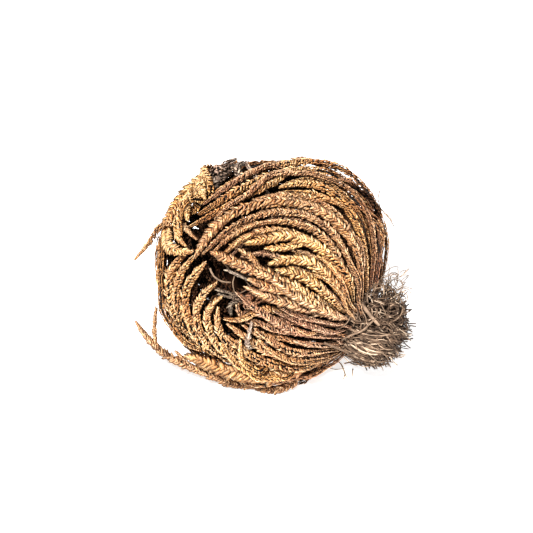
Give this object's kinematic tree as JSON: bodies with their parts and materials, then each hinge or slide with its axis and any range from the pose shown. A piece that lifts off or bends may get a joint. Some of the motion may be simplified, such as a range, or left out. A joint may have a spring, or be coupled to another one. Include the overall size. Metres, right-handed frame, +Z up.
{
  "type": "dried rose of jericho",
  "caption": "Dry resurrection plant: scaly, leafy fronds curled over each other into a ball, with a brush of wiry roots at one side.",
  "frame": {"origin": "middle of the plant's box, on the floor that it lies on", "axes": "+Z up, +X from the stray frond tips to the brush of roots, -Y towards the side with the mouth of the ball"},
  "size_m": [0.0928, 0.0732, 0.0709],
  "materials": {
    "gold_leaf": "dry, matt, straw gold leaves with darker bases",
    "brown_leaf": "dry, matt, brown older leaves",
    "grey_leaf": "dry, matt, grey dead leaves",
    "root": "dry, wiry, grey brown roots"
  },
  "bodies": {
    "root": {"arch_inner": "gold_leaf", "arch_low": "gold_leaf", "arch_outer": "gold_leaf", "back_1": "brown_leaf", "back_2": "brown_leaf", "back_3": "brown_leaf", "back_4": "brown_leaf", "back_5": "brown_leaf", "back_6": "brown_leaf", "back_7": "brown_leaf", "back_8": "brown_leaf", "back_9": "brown_leaf", "crest_fourth": "brown_leaf", "crest_outer": "brown_leaf", "crest_second": "brown_leaf", "crest_third": "brown_leaf", "crown_and_roots": "root", "curl": "gold_leaf", "feather": "gold_leaf", "flat_gold": "gold_leaf", "golden_arch": "gold_leaf", "grey_tip": "grey_leaf", "heart": "brown_leaf", "hook": "gold_leaf", "lap_one": "gold_leaf", "lap_three": "gold_leaf", "lap_two": "gold_leaf", "left_stray": "gold_leaf", "low_four": "brown_leaf", "low_one": "brown_leaf", "low_stray": "brown_leaf", "low_three": "brown_leaf", "low_two": "brown_leaf", "mouth_long": "gold_leaf", "mouth_low": "gold_leaf", "pale_one": "gold_leaf", "pale_three": "gold_leaf", "pale_two": "gold_leaf", "rim_one": "gold_leaf", "rim_two": "gold_leaf", "side_five": "gold_leaf", "side_four": "gold_leaf", "side_one": "gold_leaf", "side_three": "gold_leaf", "side_two": "gold_leaf", "sliver": "gold_leaf"}
  },
  "joints": []
}
